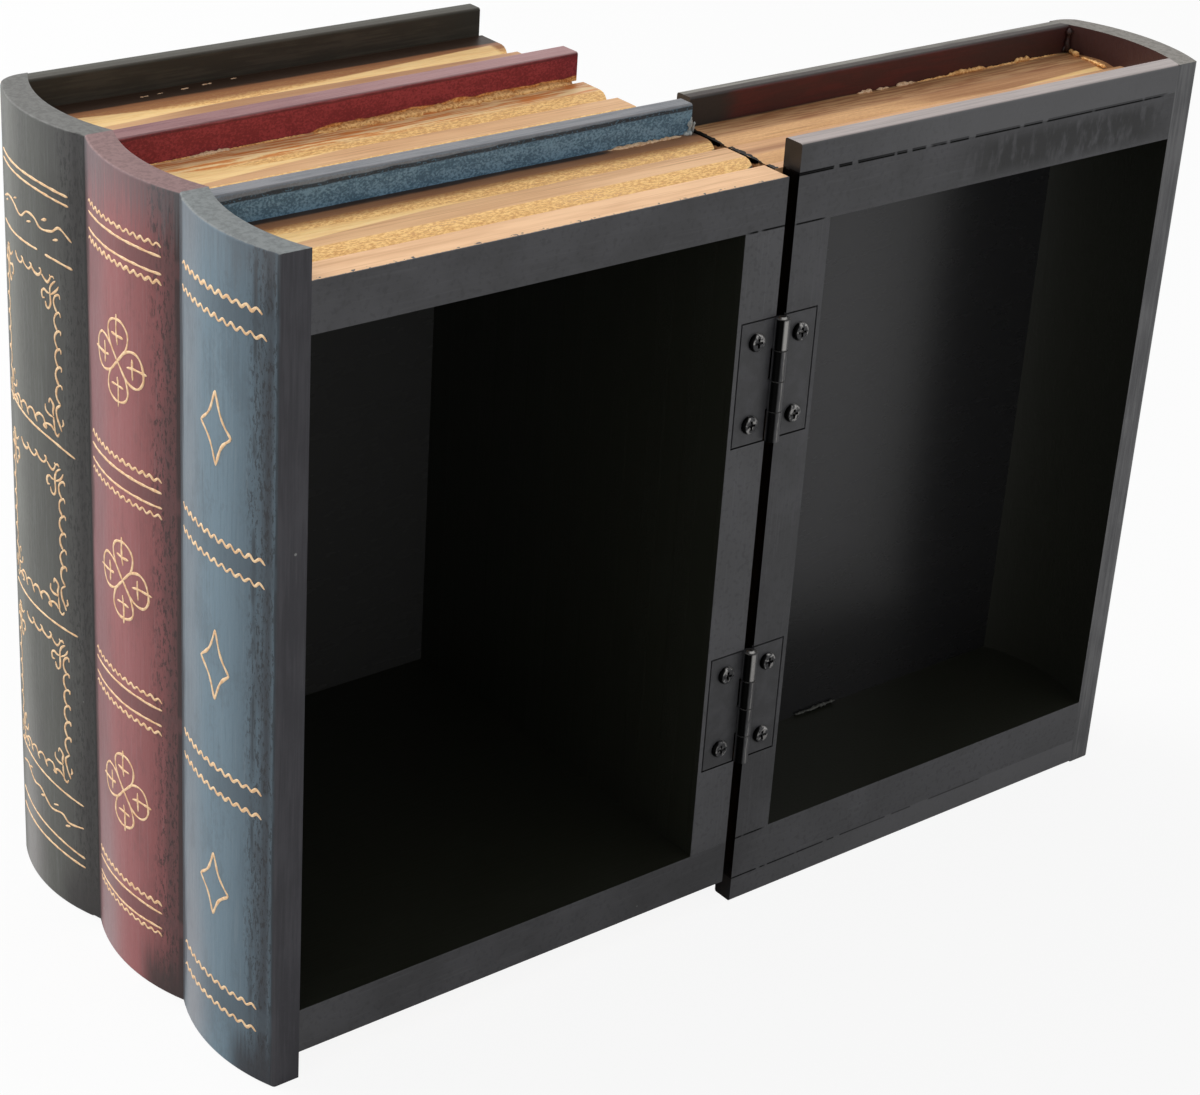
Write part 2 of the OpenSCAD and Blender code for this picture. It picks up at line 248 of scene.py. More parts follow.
# Outer faces of the cover boards, darker and paler brush marks
GREEN_OUTER = (srgb(66, 69, 65), srgb(80, 83, 78))
DOOR_OUTER = (srgb(40, 39, 41), srgb(52, 51, 54))


class FrameBlack:
    """Satin black-grey of the front frame: faint brush marks, smudges, dust and dark seams.

    seams are heights with the reach in x of each, and smudge the x and z limits of a rubbed patch.
    """

    def __init__(self, s, seams=(), smudge=None):
        cloud = s.noise(24, 3, shift=2)
        # Brushed along the rails, and up and down the stiles
        rails = s.step(s.mid_z, RAIL_FROM, RAIL_FROM + 1)
        along = s.node("ShaderNodeCombineXYZ")
        for i, value in enumerate((s.x * s.mix_value(rails, 1.25, 0.042), s.y * 1.25,
                                   s.z * s.mix_value(rails, 0.042, 1.25))):
            s.put(along.inputs[i], value)
        streaks = s.node("ShaderNodeTexNoise")
        s.put(streaks.inputs["Vector"], along.outputs[0])
        streaks.inputs["Scale"].default_value = 1.0
        brush = Val(s, streaks.outputs[0])
        colour = s.mix(s.step(cloud, 0.35, 0.7), srgb(63, 63, 65), srgb(75, 75, 78))
        colour = s.mix(s.step(brush, 0.5, 0.8) * 0.4, colour, srgb(90, 90, 93))
        rubbed_pale = s.most(s.band(s.x, -16, 0, 1) * (1 - rails), s.step(s.x, 0, 20) * s.step(s.z, 40, 20))
        colour = s.mix(rubbed_pale * 0.2, colour, srgb(112, 112, 115))
        mottle = s.noise(1.5, 2, shift=14)
        colour = s.mix(s.step(mottle, 0.48, 0.32) * 0.35, colour, srgb(46, 46, 48))
        if smudge:
            x0, x1, z0, z1 = smudge
            rubbed = s.step(s.noise(3.2, 3, (1, 1, 2.6), 19), 0.28, 0.54)
            where = s.band(s.x, x0, x1, 12) * s.band(s.z, z0, z1, 2.5)
            colour = s.mix(rubbed * where * 0.9, colour, srgb(24, 24, 25))
        # Bare black seams are given as metal, so that they mirror nothing pale
        self.metal = 0.0
        dash = s.step(s.noise(1.8, 1, (3.4, 1, 9), 40), 0.38, 0.44)
        for z, reach in seams:
            within = s.step(abs(s.x), reach + 3, reach)
            line = s.band(s.z, z - SEAM_HALF, z + SEAM_HALF, 0.12) * within
            colour = s.mix(line * dash, colour, srgb(5, 5, 5))
            self.metal = s.most(self.metal, line * dash)
        self.colour = s.mix(s.specks(6, 0.035, 1) * 0.6, colour, DUST)
        self.rough = 0.40 + (cloud - 0.5) * 0.12 + (brush - 0.5) * 0.2
        self.bump = brush * 0.3


def spine_paint(name, book, paint, tops, lip, outside=-1, bands=(), joints=(1.0, 1.0), corner_highlight=0.0, dry=0.3,
                edge=(JOINT_BLACK, JOINT_BLACK), groove_share=0.25, turns_to=None):
    """Antiqued paint of a spine, brushed along its height and shaded black towards its joints.

    paint holds the colours at the front joint, the middle, the back and in the antiquing.
    tops is the dry-brushed grey of the ends, and lip the inner face beyond the pages.
    bands are heights between which the paint is wiped dark, up to the front of the spine.
    outside is the way in x that the spine faces, joints how dark its front and back joints are,
    edge the colours of the flat front edge, and turns_to those of the cover board it runs into.
    """
    s = Shade(name)
    y0, w = book
    # Depth from the middle of the spine
    u = s.y - (y0 + w / 2)
    mottle = s.noise(13, 3, (1, 1, 2.2), 3)
    fine = s.noise(1.4, 3, (1, 1, 1.4), 8)
    brush = s.noise(0.75, 2, (1, 1, 28), 5)
    front, middle, back, antique = paint
    # Paler towards the back of the spine: partly the paint's tone, partly painted light on the side turned to
    # the lamp
    colour = s.mix(s.step(u, -17, -3), front, middle)
    colour = s.mix(s.step(u, 2, 14), colour, back)
    if turns_to:
        # Round the corner the paint takes the tone of the cover board
        colour = s.mix(s.step(u, 14, 24), colour, s.mix(s.step(mottle, 0.4, 0.62), *turns_to))
    shade_of = s.mix(0.5, front, antique)
    colour = s.mix(s.step(mottle * 0.65 + fine * 0.35, 0.52, 0.36) * 0.34, colour, shade_of)
    colour = s.mix(s.step(brush, 0.52, 0.72) * 0.22, colour, shade_of)
    colour = s.mix(s.step(brush, 0.46, 0.30) * 0.07, colour, srgb(160, 166, 168))
    # Paler low down, away from the front: painted light bounced up from the floor
    thin = s.step(s.z, 90, 0) * s.step(u, -4, 12) * s.step(u, 24, 15)
    colour = s.mix(thin * 0.32, colour, srgb(176, 170, 172))
    # Antiquing towards both joints, dragged along the height
    wander = (s.noise(7, 2, (1, 1, 5), 11) - 0.5) * 7 + (brush - 0.5) * 4
    # Less antiquing on the rounded front corner: a painted highlight
    near_front = s.step(u + wander, -15.5, -21.5) * (1 - s.step(u, -21.2, -23.2) * corner_highlight) * joints[0]
    near_back = s.step(u + wander, w / 2 - 6, w / 2 - 1.5) * joints[1]
    colour = s.mix(s.most(near_front, near_back) * 0.85, colour, antique)
    # Ragged black flecks in the brushed antiquing, and a dark line where the front joint begins
    ragged = s.step(s.noise(0.85, 3, (1, 1, 3.2), 23, 0.75), 0.50, 0.60)
    ragged = ragged * s.step(u + wander * 0.6, -12.5, -17)
    groove = s.band(u + (brush - 0.5) * 1.6, -17.2, -15.9, 0.7) * s.step(mottle, 0.40, 0.55)
    rim = s.step(u + (brush - 0.5) * 1.6, -22.7, -23.5) * 0.8
    flecks = s.most(ragged * 0.75, groove * groove_share, rim)
    colour = s.mix(flecks, colour, s.mix(0.6, antique, srgb(12, 12, 14)))
    for low, high in bands:
        wiped = s.band(s.z + (fine - 0.5) * 1.5, low, high, 1.1) * s.step(u + wander, 30, -14)
        colour = s.mix(wiped * 0.62, colour, s.mix(0.72, middle, antique))
    # Grey dry brush runs down from the top edge, and the paint is darker at the foot towards the front
    colour = s.mix(s.step(s.z + (brush - 0.5) * 30, 231, 250) * dry, colour, srgb(100, 100, 103))
    foot = s.step(s.z + (brush - 0.5) * 14 + wander * 0.6, 20, 4) * s.step(u, -5, -14)
    colour = s.mix(foot * 0.92, colour, antique)
    cap = s.step(abs(s.nz), 0.4, 0.75)
    cap_colour = s.mix(s.step(fine, 0.42, 0.62) * 0.45, tops, s.mix(0.55, tops, antique))
    colour = s.mix(cap, colour, cap_colour)
    # The flat front edge is part of the black frame
    facing_front = s.step(s.ny, -0.55, -0.85)
    edge_colour = s.mix(s.step(brush * 0.5 + mottle * 0.5, 0.4, 0.62), *edge)
    colour = s.mix(facing_front * (1 - cap), colour, edge_colour)
    inner = s.step(s.nx * outside, 0.2, -0.2) * (1 - facing_front) * (1 - cap)
    hollow = s.step(s.mid_z, HOLLOW_TO, HOLLOW_TO - 1)
    colour = s.mix(inner, colour, s.mix(hollow, lip, INSIDE_BLACK))
    colour = s.mix(s.specks(7, 0.045, 2) * 0.6, colour, DUST)
    rough = 0.5 + (fine - 0.5) * 0.25 + cap * 0.14
    return s.finish(colour, rough, fine * 0.7 + brush * 0.3, 0.12, specular=0.42)


def strip_paint(name, face, face_dark, top, top_dark, rim, gold_climb=False, paler=0.0):
    """Grainy paint of a cover strip, dry-brushed on its edge and paler there towards the fore-edge.

    rim is the dark line below the pale edge: its height at both ends of the strip, half its width,
    its strength, and how pale the paint above it is.
    """
    s = Shade(name)
    coarse = s.noise(4.5, 2, (2.5, 1, 1), 4)
    grain = s.noise(0.62, 2, (1.3, 1, 1), 9, 0.7)
    colour = s.mix(s.step(coarse * 0.35 + grain * 0.65, 0.42, 0.60), face_dark, face)
    # Only the top strips have gold at their foot and a dark line
    at_top = s.step(s.z, HEIGHT / 2, HEIGHT / 2 + 1)
    if gold_climb:
        lip_z = PAGE_TOP - 0.5 + (coarse - 0.5) * 2.6 + s.band(s.x, -96, 10, 5) * 2.0
        climbed = s.step(s.z - lip_z, 0.25, -0.25) * at_top * s.step(s.ny, 0.2, -0.2)
        gold = s.mix(s.step(grain, 0.4, 0.6), srgb(206, 134, 70), srgb(252, 196, 124))
        colour = s.mix(climbed, colour, gold)
    z0, z1, half, strength, above = rim
    # Height over the dark line, which wanders a little
    over = s.z - (z0 + (z1 - z0) * (s.x + REACH) / REACH) + (coarse - 0.5) * 1.2
    facing_front = s.step(s.ny, -0.5, -0.8) * at_top
    colour = s.mix(s.step(over, half * 0.5, half) * facing_front * above, colour, top)
    line = s.step(abs(over), half, half * 0.5) * s.step(grain, 0.36, 0.46)
    colour = s.mix(line * facing_front * strength, colour, srgb(44, 38, 38))
    cap = s.step(s.nz, 0.5, 0.8)
    brush = s.noise(0.7, 2, (40, 1, 1), 6)
    top_colour = s.mix(s.step(brush * 0.7 + coarse * 0.3, 0.44, 0.60) * 0.7, top, top_dark)
    top_colour = s.mix(s.step(s.x, -150, -10) * paler, top_colour, srgb(214, 180, 178))
    colour = s.mix(cap, colour, top_colour)
    ends = s.step(abs(s.nx), 0.5, 0.8)
    colour = s.mix(ends * 0.75, colour, JOINT_BLACK)
    colour = s.mix(s.specks(6, 0.05, 5) * 0.6, colour, DUST)
    return s.finish(colour, 0.56 + (grain - 0.5) * 0.25, grain, 0.13, specular=0.22)


def cover_paint(name, face, face_dark, edge_pale, edge_dark, y_front, wall, outer, pale_from,
                left_black=False):
    """Paint of a full cover board: dark faces, black in the hollow, and a pale worn line along its edge.

    y_front is the depth of its inner face, wall its colour in the hollow, outer the colours of its
    outer face, and pale_from how far back the pale line begins. left_black is for the door's board,
    which is black beside the hinges and has a painted reflection on its wall in the hollow.
    """
    s = Shade(name)
    coarse = s.noise(5, 3, (3, 1, 1), 4)
    streak = s.noise(0.8, 2, (26, 1, 1), 15)
    fine = s.noise(0.8, 2, (1.4, 1, 1), 9)
    colour = s.mix(s.step(coarse * 0.5 + streak * 0.5, 0.42, 0.62), face_dark, face)
    if left_black:
        colour = s.mix(s.step(s.x + (coarse - 0.5) * 12, 22, 10), colour, srgb(27, 22, 20))
        colour = s.mix(s.step(s.x + (coarse - 0.5) * 30, 100, 128) * 0.6, colour, srgb(34, 17, 13))
        # The pale patch on the wall in the hollow is a painted reflection
        glow = s.step(s.x, 112, 62) * s.step(s.z, 58, 92)
        wall = s.mix(glow * 0.8, wall, srgb(62, 62, 64))
    cap = s.step(abs(s.nz), 0.5, 0.8)
    across = s.y - y_front + (streak - 0.5) * 1.6
    worn = s.step(across, pale_from, pale_from + 1.2) * (0.55 + s.step(streak, 0.4, 0.6) * 0.45)
    colour = s.mix(cap, colour, s.mix(worn, edge_dark, edge_pale))
    hollow = s.step(s.mid_z, HOLLOW_TO, HOLLOW_TO - 1)
    facing_front = s.step(s.ny, -0.5, -0.8)
    colour = s.mix(facing_front * hollow, colour, wall)
    behind = s.step(s.ny, 0.5, 0.8)
    drawn = s.noise(1.1, 3, (1, 1, 22), 27)
    patchy = s.noise(26, 3, (1, 1, 1.6), 28)
    outer_colour = s.mix(s.step(drawn * 0.5 + patchy * 0.5, 0.38, 0.64), *outer)
    rim = s.most(s.step(s.mid_z, 121, 125), s.step(abs(s.x), 3.5, 0.5))
    rubbed = rim * s.step(drawn * 0.5 + fine * 0.5, 0.48, 0.66)
    outer_colour = s.mix(rubbed * 0.3, outer_colour, srgb(118, 118, 114))
    outer_colour = s.mix(s.specks(8, 0.05, 3) * 0.5, outer_colour, DUST)
    colour = s.mix(behind, colour, outer_colour)
    rough = s.mix_value(facing_front * hollow, 0.55 + (fine - 0.5) * 0.2, 0.27 + (coarse - 0.5) * 0.06)
    return s.finish(colour, rough, fine * 0.6 + streak * 0.4, 0.035, specular=0.5 if left_black else 0.25)


def door_strip_paint():
    """The door's front strips: frame black in front, dry-brushed pale on top."""
    s = Shade("door_strip_paint")
    black = FrameBlack(s, seams=((PAGE_TOP + 0.25, 152), (OVERHANG - 0.25, 110)))
    cap = s.step(s.nz, 0.6, 0.9)
    brush = s.noise(0.7, 3, (40, 1, 1), 6)
    colour = s.mix(s.step(s.x, 0, 90) * 0.55, black.colour, srgb(102, 102, 104))
    top = s.mix(s.step(brush, 0.45, 0.62) * 0.5, srgb(178, 167, 164), srgb(138, 130, 128))
    top = s.mix(s.step(s.x, 40, 150) * 0.1, top, srgb(212, 206, 202))
    colour = s.mix(cap, colour, top)
    ends = s.step(s.nx, -0.5, -0.8)
    colour = s.mix(ends * 0.85, colour, JOINT_BLACK)
    metal = s.most(black.metal * (1 - cap), ends * (1 - cap) * 0.6)
    return s.finish(colour, black.rough + cap * 0.12, black.bump, 0.03, metal)


def page_gold(name, fore, golds, feet, wedges, painted_shadows, seams, grit_share=1.0, smudge=None):
    """Gold paint on fluted pages, black on the front frame and in the hollow.

    fore is the way in x that the fore-edge faces.
    golds are the paint of the front band, of the rest, and where it is brushed thin.
    feet are the boards that stand on the pages: depth, skew, how far out the brown and the black
    shade reach, how strong the brown is all over and in streaks, its colour, and stretches of x
    along which gold fills the gap.
    wedges are painted highlights on the flutes, where they would catch the light, and painted_shadows are
    brown painted shadows. Each is given as the arguments of Shade.wedge.
    """
    s = Shade(name)
    turn = s.math("FLOORED_MODULO", s.y - FLUTE_FIRST, FLUTE_PITCH)
    rise = s.band(turn, FLUTE_STEP, FLUTE_STEP + FLUTE_RISE, 0.5)
    slope = rise * s.step(s.y, FLUTE_FIRST - 0.5, FLUTE_FIRST)
    grit = s.noise(0.5, 3, (2.8, 1, 1), 3, 0.75)
    cloud = s.noise(7, 3, (6, 1, 2), 5)
    brush = s.noise(0.75, 2, (60, 1, 1), 12)
    front_flat, back_flat, dry_brush = golds
    flat = s.mix(s.step(s.y, 10, 12), front_flat, back_flat)
    flat = s.mix(s.band(s.x, -60, -2, 30) * s.step(s.y, 38, 32) * 0.7, flat, front_flat)
    flat = s.mix(s.step(cloud, 0.62, 0.36) * 0.35, flat, dry_brush)
    flat = s.mix(s.step(brush, 0.5, 0.72) * 0.45, flat, dry_brush)
    # Fine brown and bright hairs along the pages, behind the front band
    hair = s.noise(0.42, 2, (95, 1, 95), 33)
    hairy = s.step(s.y, 15, 24)
    flat = s.mix(s.step(hair, 0.56, 0.66) * hairy * 0.4, flat, srgb(156, 102, 60))
    flat = s.mix(s.step(hair, 0.42, 0.32) * hairy * 0.35, flat, srgb(255, 216, 162))
    grainy = s.mix(s.step(grit, 0.40, 0.60), srgb(218, 162, 96), srgb(255, 214, 144))
    colour = s.mix(slope * s.step(cloud * 0.4 + grit * 0.6, 0.32, 0.46) * grit_share, flat, grainy)
    # The sharp side of a flute is a thin brown line
    colour = s.mix(s.band(turn, -0.1, FLUTE_STEP, 0.25) * 0.5, colour, srgb(150, 100, 60))
    # Brown wedges on the pages: painted shadows of the boards
    for w in painted_shadows:
        colour = s.mix(s.wedge(*w, soft=1.2, ends=0.16) * (0.4 + brush * 0.5), colour, srgb(150, 96, 56))
    # Bright wedges on the flute slopes: painted highlights
    painted_highlight = s.most(*[s.wedge(*w) for w in wedges])
    drawn = s.noise(1.0, 3, (16, 1, 16), 44)
    streak = s.step(drawn, 0.48, 0.58)
    highlight_grain = s.step(grit * 0.4 + brush * 0.6, 0.4, 0.62)
    highlight_colour = s.mix(highlight_grain * 0.4, srgb(255, 220, 156), srgb(255, 204, 130))
    highlight_colour = s.mix(streak * 0.3, highlight_colour, srgb(226, 170, 106))
    colour = s.mix(painted_highlight, colour, highlight_colour)
    # On the fore-edge the shade beside the boards stays brown and thin
    on_ends = s.step(abs(s.nx), 0.75, 0.55)
    for foot, skew, brown_from, black_from, even, streaky, tone, gilt in feet:
        # Distance in front of the foot of the board
        d = (foot - s.y) + (s.x + REACH) * math.tan(math.radians(skew))
        d = d + (cloud - 0.5) * 2.5 + (brush - 0.5) * 1.6
        standing = s.step(d, -1.6, -1.2)
        # Brown in front of each board: painted shade, except at the red strip, where the tone is its gold
        # paint
        brown = s.step(d, brown_from, brown_from - 3.2) * standing * (1 - painted_highlight * 0.8)
        share = s.mix_value(on_ends, 0.45, streak * streaky + even)
        colour = s.mix(brown * share, colour, tone)
        # Bright streaks in front of the red strip: gold paint, lifted by painted light against the strip's
        # own shadow
        bright = s.step(drawn, 0.56, 0.42) * on_ends * streaky
        colour = s.mix(brown * bright, colour, srgb(255, 224, 170))
        # Black at the very foot of each board: painted shadow in the gap under it
        dark = s.step(d, black_from, black_from - 1.6) * standing * on_ends
        for x0, x1 in gilt:
            dark = dark * (1 - s.band(s.x + (cloud - 0.5) * 20, x0, x1, 3) * 0.85)
        colour = s.mix(dark * 0.93, colour, srgb(26, 18, 12))
    # The front frame and all that faces into the hollow is black
    black = FrameBlack(s, seams, smudge)
    chip = s.noise(1.7, 2, shift=31)
    up = s.step(s.nz, 0.5, 0.7)
    edge_y = s.mix_value(up, 1.1, 0.4) + s.step(chip, 0.585, 0.64) * up * 1.3
    front = s.step(s.y + (chip - 0.5) * 0.9 * up - edge_y, 0.1, -0.1)
    # Beside the hinges the black runs on a little way into the gap and along its upper rim: partly paint,
    # partly painted shadow of the gap
    gap_x = abs(s.x)
    into_gap = s.step(s.y + (chip - 0.5) * 1.6 + (cloud - 0.5) * 3, 7.5, 6.5)
    upper_rim = s.step(s.z + (chip - 0.5) * 1.6, 239.3, 239.9) * s.step(s.y, 47, 45)
    side = s.step(gap_x, 6, 5) * (1 - up) * s.step(s.ny, -0.6, -0.4) * s.most(into_gap, upper_rim)
    # Ragged black at the gap's lips: chipped paint and painted shadow of the gap
    chips_and_gap_shadow = s.step(gap_x + (chip - 0.5) * 2.4, 0.95, 0.75) * s.step(s.y, 47, 45) * up
    chips_and_gap_shadow = s.most(chips_and_gap_shadow, s.wedge(-5.5, 12.6, 12.9, -0.3, 10.8, 15.4) * up,
                     s.wedge(-4.5, 29.4, 29.6, -0.3, 27.4, 31.0) * up)
    mortise = s.step(s.mid_z, MORTISE_TO, MORTISE_TO - 2) * s.step(gap_x, MORTISE_X, MORTISE_X - 0.5) * up
    crack = s.most(side, chips_and_gap_shadow, mortise)
    facing_in = s.step(s.nz * s.math("SIGN", s.z - HEIGHT / 2), -0.4, -0.6)
    side_in = s.step(s.nx * fore, -0.5, -0.7)
    inner = s.most(facing_in, side_in)
    dark = s.most(front, crack, inner)
    black_colour = s.mix(inner, black.colour, INSIDE_BLACK)
    colour = s.mix(dark, colour, s.mix(crack, black_colour, srgb(9, 9, 9)))
    rough = s.mix_value(dark, 0.46 + slope * 0.1 + (grit - 0.5) * 0.2, black.rough)
    framed = s.most(s.step(s.ny, -0.6, -0.8), facing_in)
    grooves = rise * (0.75 * grit_share) + 0.12
    bump = s.mix_value(framed, grit * grooves + brush * 0.25, black.bump)
    metal = s.mix_value(dark, 0.3 - painted_highlight * 0.2, s.most(black.metal, crack))
    return s.finish(colour, rough, bump, 0.14, metal, 0.45)


def hinge_paint():
    """Thin black paint on steel, rubbed bright on the top knuckles partly as painted highlight, and painted
    shade on the barrel's left side.
    """
    s = Shade("hinge_black")
    cloud = s.noise(5, 4, shift=3)
    scratch = s.noise(0.3, 3, (1, 1, 9), 5)
    barrel = s.step(s.y, -0.8, -1.6)
    top_knuckle = s.most(*[s.band(s.z, top + 0.2 - KNUCKLE_LENGTH, top - 0.2, 0.4) for top in KNUCKLE_TOPS_Z])
    colour = s.mix(s.step(cloud, 0.4, 0.7), srgb(58, 58, 60), srgb(70, 70, 73))
    # The barrel's left side is darkened to black: painted shade
    left = barrel * s.step(s.nx, -0.3, -0.6)
    colour = s.mix(left, colour, srgb(12, 12, 12))
    # Rubbed bare along a band of the barrel: worn steel, partly painted highlight
    rubbed = barrel * s.band(s.nx, -0.45, 0.1, 0.15)
    worn = rubbed * s.step(scratch * 0.35 + cloud * 0.15 + top_knuckle * 0.4, 0.22, 0.62)
    # The lower knuckles get one thin bright line only, a painted highlight
    highlight_line = barrel * s.band(s.nx, -0.16, 0.06, 0.07) * s.step(scratch, 0.36, 0.58) * 0.6
    worn = s.most(worn, highlight_line)
    colour = s.mix(worn, colour, srgb(175, 173, 170))
    rough = 0.36 + (cloud - 0.5) * 0.2 - worn * 0.08
    return s.finish(colour, rough, scratch, 0.02, s.most(left, worn * 0.85))


def screw_paint():
    """Black screws with rubbed rims, paler to the right as painted highlight, and painted shade on their left
    side.
    """
    s = Shade("screw_black")
    cloud = s.noise(1.6, 4, shift=3)
    colour = s.mix(s.step(cloud, 0.4, 0.7), srgb(40, 40, 42), srgb(62, 62, 65))
    # Dark left side of each head: painted shade
    left = s.step(s.nx, -0.12, -0.4)
    colour = s.mix(left, colour, srgb(10, 10, 10))
    worn = s.step(cloud + s.step(s.nx, 0.1, 0.5) * 0.12, 0.50, 0.60) * (1 - left)
    colour = s.mix(worn * 0.7, colour, srgb(190, 188, 185))
    return s.finish(colour, 0.3 + (cloud - 0.5) * 0.2, cloud, 0.03, s.most(left, worn * 0.8))


def steel():
    """Bare turned steel of the hinge pins."""
    s = Shade("pin_steel")
    turned = s.noise(0.25, 3, (1, 1, 0.3), 3)
    colour = s.mix(s.step(turned, 0.4, 0.6), srgb(120, 120, 118), srgb(165, 163, 160))
    return s.finish(colour, 0.32 + (turned - 0.5) * 0.2, turned, 0.01, 1.0)


def gold_line():
    """Pale gold paint of the ornament lines, drawn by hand."""
    s = Shade("gold_line")
    pool = s.noise(1.2, 3, shift=4)
    colour = s.mix(s.step(pool, 0.35, 0.65), srgb(232, 186, 138), srgb(255, 222, 178))
    return s.finish(colour, 0.46 + (pool - 0.5) * 0.2, pool, 0.03, 0.2, 0.4)


def blob_paint(name, low, high, metallic=0.0):
    """Dried glue or paint that squeezed out of a joint."""
    s = Shade(name)
    pool = s.noise(0.9, 3, shift=6)
    colour = s.mix(s.step(pool, 0.35, 0.62), low, high)
    return s.finish(colour, 0.5 + (pool - 0.5) * 0.3, pool, 0.08, metallic, 0.35)


# Gilding on the curved spines

class Spine:
    """The outer face of a spine: u mm round it from its middle towards the back, and z mm up."""

    def __init__(self, book, side=-1, back_round=0.0):
        y0, w = book
        self.side, self.round = side, back_round
        self.r = (w * w / 4 + BULGE * BULGE) / (2 * BULGE)
        self.centre = (REACH + SPINE_T - (self.r - BULGE), y0 + w / 2)
        if back_round:
            # The arc runs on into the edge of the cover board, which is rounded
            k = self.r - back_round
            self.turn = math.asin((w / 2 + BOARD_T - back_round) / k)
            self.corner = (self.centre[0] + k * math.cos(self.turn), self.centre[1] + k * math.sin(self.turn))

    def at(self, u, z, h):
        a, (cx, cy), r = u / self.r, self.centre, self.r
        if self.round and a > self.turn:
            a = self.turn + (u - self.turn * self.r) / self.round
            (cx, cy), r = self.corner, self.round
        x = cx + (r + h) * math.cos(a)
        y = cy + (r + h) * math.sin(a)
        return (self.side * x * MM, (y + FRONT_Y) * MM, z * MM)


def smooth_path(points, step=0.4):
    """Catmull-Rom line through the points, evenly cut."""
    p = [np.array(q, float) for q in points]
    p = [2 * p[0] - p[1]] + p + [2 * p[-1] - p[-2]]
    out = []
    for i in range(1, len(p) - 2):
        n = max(1, int(np.linalg.norm(p[i + 1] - p[i]) / step))
        a, b, c, d = p[i - 1], p[i], p[i + 1], p[i + 2]
        for k in range(n):
            t = k / n
            out.append(0.5 * (2 * b + (c - a) * t + (2 * a - 5 * b + 4 * c - d) * t * t
                              + (3 * b - a - 3 * c + d) * t ** 3))
    out.append(p[-2])
    return out


# Section of a painted line: shares of half its width and of its height, or mm below the surface
RIDGE = ((-1, -0.06), (-0.72, 0.7), (0, 1.0), (0.72, 0.7), (1, -0.06))


def add_line(verts, faces, spine, path, width, rng, height=0.11, ends=0.5):
    """One painted line on a spine, as a closed low ridge."""
    n, k, base = len(path), len(RIDGE), len(verts)
    phase = rng.uniform(0, 6.28)
    for i, q in enumerate(path):
        a, b = path[max(i - 1, 0)], path[min(i + 1, n - 1)]
        t = (b - a) / max(np.linalg.norm(b - a), 1e-9)
        side = np.array([-t[1], t[0]])
        fade = min(1.0, ends + 0.25 * min(i, n - 1 - i))
        wobble = 1 + 0.16 * math.sin(i * 0.55 + phase) + 0.1 * math.sin(i * 0.23 + 2 * phase)
        half = width / 2 * fade * wobble
        for s, h in RIDGE:
            u, z = q + side * s * half
            verts.append(spine.at(u, z, h * height if h > 0 else h))
    close_tube(faces, base, n, k)


def close_tube(faces, base, n, k):
    """Faces of a tube of n rings with k points each, closed at both ends."""
    for i in range(n - 1):
        for j in range(k):
            a, b = base + i * k + j, base + i * k + (j + 1) % k
            faces.append((a, a + k, b + k, b))
    faces.append(tuple(base + j for j in range(k)))
    faces.append(tuple(base + (n - 1) * k + j for j in reversed(range(k))))


def make_object(name, verts, faces, material, body):
    """A smooth mesh piece that rides on a body and takes its finish from a slot."""
    mesh = bpy.data.meshes.new(name)
    mesh.from_pydata(verts, [], faces)
    mesh.materials.append(material)
    mesh.polygons.foreach_set("use_smooth", [True] * len(mesh.polygons))
    mesh.update()
    o = add_object(name, mesh)
    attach(o, body)


def gild(name, spine, lines, material, body, seed, width):
    """All gold lines of a spine as one piece, each drawn with a slightly unsteady hand."""
    rng = random.Random(seed)
    verts, faces = [], []
    for pts in lines:
        pts = [(u + rng.uniform(-0.1, 0.1), z + rng.uniform(-0.1, 0.1)) for u, z in pts]
        add_line(verts, faces, spine, smooth_path(pts), width * rng.uniform(0.88, 1.1), rng)
    make_object(name, verts, faces, material, body)


def bead(name, runs, material, body, seed):
    """Squeezed-out glue or paint: each run is (from, to, radius, squash)."""
    rng = random.Random(seed)
    verts, faces = [], []
    sides = 8
    for start, end, radius, squash in runs:
        a, b = Vector(start), Vector(end)
        rings = max(5, int((b - a).length / (radius * 0.9)))
        way = (b - a).normalized()
        across = way.cross(Vector((0, 0, 1)) if abs(way.z) < 0.8 else Vector((0, 1, 0))).normalized()
        up = across.cross(way)
        base = len(verts)
        for i in range(rings + 1):
            t = i / rings
            end_fade = math.sqrt(max(0.02, 1 - abs(2 * t - 1) ** 6))
            r = radius * end_fade * rng.uniform(0.45, 1.25)
            c = a + (b - a) * t + across * rng.uniform(-0.25, 0.25) * radius
            for j in range(sides):
                q = 2 * math.pi * j / sides
                p = c + across * (r * math.cos(q)) + up * (r * squash * math.sin(q))
                verts.append((p.x * MM, (p.y + FRONT_Y) * MM, p.z * MM))
        close_tube(faces, base, rings + 1, sides)
    make_object(name, verts, faces, material, body)


def zigzag(z, u0, u1, pitch=3.5, rise=0.62):
    """A hand-drawn zigzag from u0 to u1."""
    n = int(abs(u1 - u0) / pitch * 2)
    return [(u0 + (u1 - u0) * i / n, z + (rise if i % 2 else -rise)) for i in range(n + 1)]


def level(z, u0, u1, sag=0.0):
    """A line from u0 to u1 at one height, bowed in its middle by sag."""
    shares = [i / 8 for i in range(9)]
    return [(u0 + (u1 - u0) * t, z + sag * math.sin(math.pi * t)) for t in shares]


# Blue spine: height of the upper and lower zigzag of a pair, and where both end at the front
BLUE_ZIGZAGS = ((233.2, 226.4, -20.6), (164.4, 157.4, -20.6), (95.0, 87.5, -20.1), (24.8, 17.3, -18.9))
